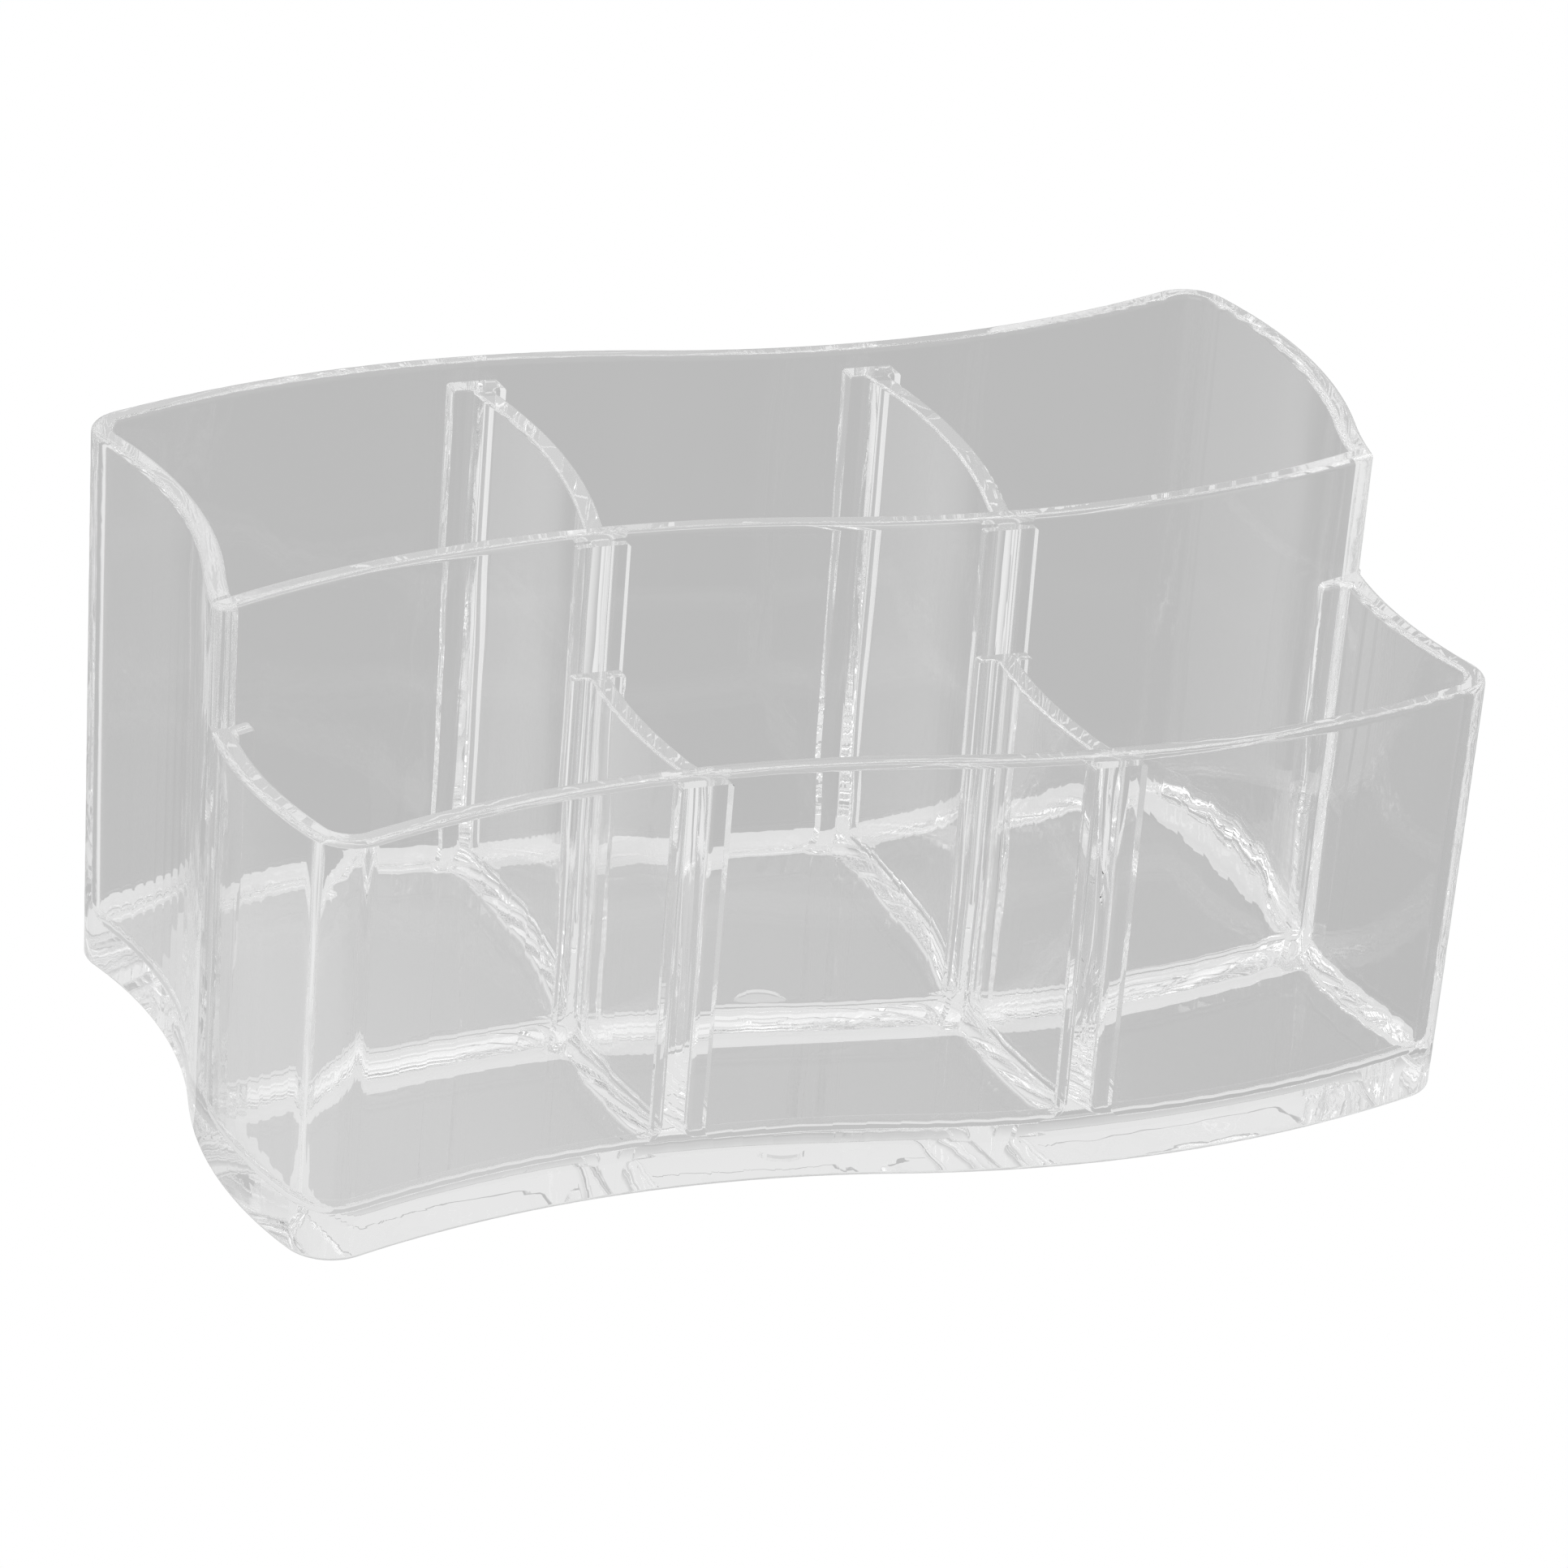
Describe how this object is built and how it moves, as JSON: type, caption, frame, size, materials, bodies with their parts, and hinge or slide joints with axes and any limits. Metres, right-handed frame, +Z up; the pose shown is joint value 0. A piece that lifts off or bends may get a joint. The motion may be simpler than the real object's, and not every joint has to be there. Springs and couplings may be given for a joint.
{
  "type": "vanity organizer",
  "caption": "Clear plastic organizer with wavy walls, a thick base, a tall rear tier and a lower front tier, each split into compartments by S-shaped dividers.",
  "frame": {"origin": "middle of the underside, on the level that it stands on", "axes": "+Z up, -Y to the front with the low tier, +X to the right seen from the front"},
  "size_m": [0.2326, 0.1417, 0.1045],
  "materials": {
    "clear_plastic": "clear, polished"
  },
  "bodies": {
    "root": {"base_slab": "clear_plastic", "rear_shell": "clear_plastic", "centre_wall": "clear_plastic", "front_shell": "clear_plastic", "rear_divider_left": "clear_plastic", "rear_divider_right": "clear_plastic", "front_divider_left": "clear_plastic", "front_divider_right": "clear_plastic"}
  },
  "joints": []
}
